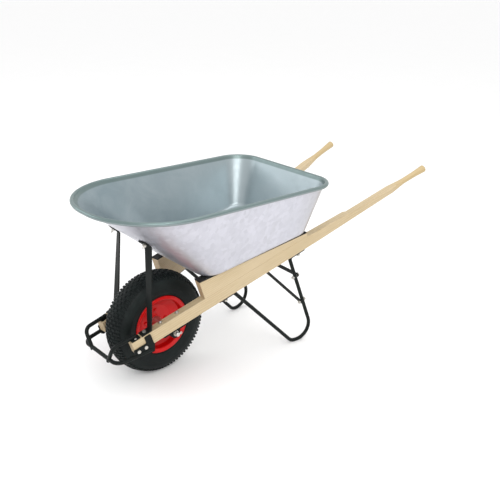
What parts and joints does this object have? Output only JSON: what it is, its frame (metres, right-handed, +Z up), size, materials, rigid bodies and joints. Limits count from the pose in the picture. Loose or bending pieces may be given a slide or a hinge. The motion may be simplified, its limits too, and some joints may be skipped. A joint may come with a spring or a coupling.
{
  "type": "wheelbarrow",
  "caption": "Contractor's wheelbarrow with a galvanised pressed tray on wooden handles, bar legs, a bent-bar nose guard and a spinning tyred wheel on a fixed axle.",
  "frame": {"origin": "on the ground, in the middle of the overall width and of the overall length", "axes": "+Z up, +Y from the wheel towards the grips, +X to the right seen from the wheel with the grips beyond"},
  "size_m": [0.59, 1.5139, 0.7],
  "materials": {
    "galvanised_sheet": "hot-dip galvanised, satin",
    "plain_steel": "mill finish",
    "wood": "planed and clear sealed",
    "black_paint": "black gloss paint",
    "red_paint": "red gloss paint",
    "tyre": "matte moulded rubber",
    "tube_rubber": "matte",
    "pad_rubber": "matte",
    "valve_rubber": "matte",
    "bush_plastic": "moulded",
    "zinc_steel": "zinc plated"
  },
  "bodies": {
    "frame": {"axle": "zinc_steel", "axle_bracket_left": "black_paint", "axle_bracket_right": "black_paint", "axle_spacer_left": "zinc_steel", "axle_spacer_right": "zinc_steel", "axle_washers": "zinc_steel", "brace_foot_bolts": "zinc_steel", "brace_foot_nuts": "zinc_steel", "brace_tab_bolts": "zinc_steel", "brace_tab_nuts": "zinc_steel", "bracket_bolts": "zinc_steel", "bracket_nuts": "zinc_steel", "cotter_pins": "zinc_steel", "front_brace_left": "black_paint", "front_brace_right": "black_paint", "guard_bolts": "zinc_steel", "guard_nuts": "zinc_steel", "guard_screws": "zinc_steel", "handle_left": "wood", "handle_right": "wood", "leg_cross_tie": "black_paint", "leg_diagonal_tie": "black_paint", "leg_left": "black_paint", "leg_right": "black_paint", "nose_guard": "black_paint", "rim_rod": "plain_steel", "tie_bolts": "zinc_steel", "tie_nuts": "zinc_steel", "tray": "galvanised_sheet", "tray_bolts": "zinc_steel", "tray_nuts": "zinc_steel", "tray_pad_left": "pad_rubber", "tray_pad_right": "pad_rubber", "wedge_left": "wood", "wedge_right": "wood"},
    "wheel": {"hub": "zinc_steel", "hub_bushing_left": "bush_plastic", "hub_bushing_right": "bush_plastic", "inner_tube": "tube_rubber", "rim_bolts": "red_paint", "rim_left": "red_paint", "rim_nuts": "red_paint", "rim_right": "red_paint", "tyre": "tyre", "valve_cap": "valve_rubber", "valve_stem": "valve_rubber"}
  },
  "joints": [
    {"name": "wheel_spin", "type": "hinge", "parent": "frame", "child": "wheel", "pos_m": [0, -0.47996, 0.203], "axis": [1, 0, 0], "continuous": true}
  ]
}
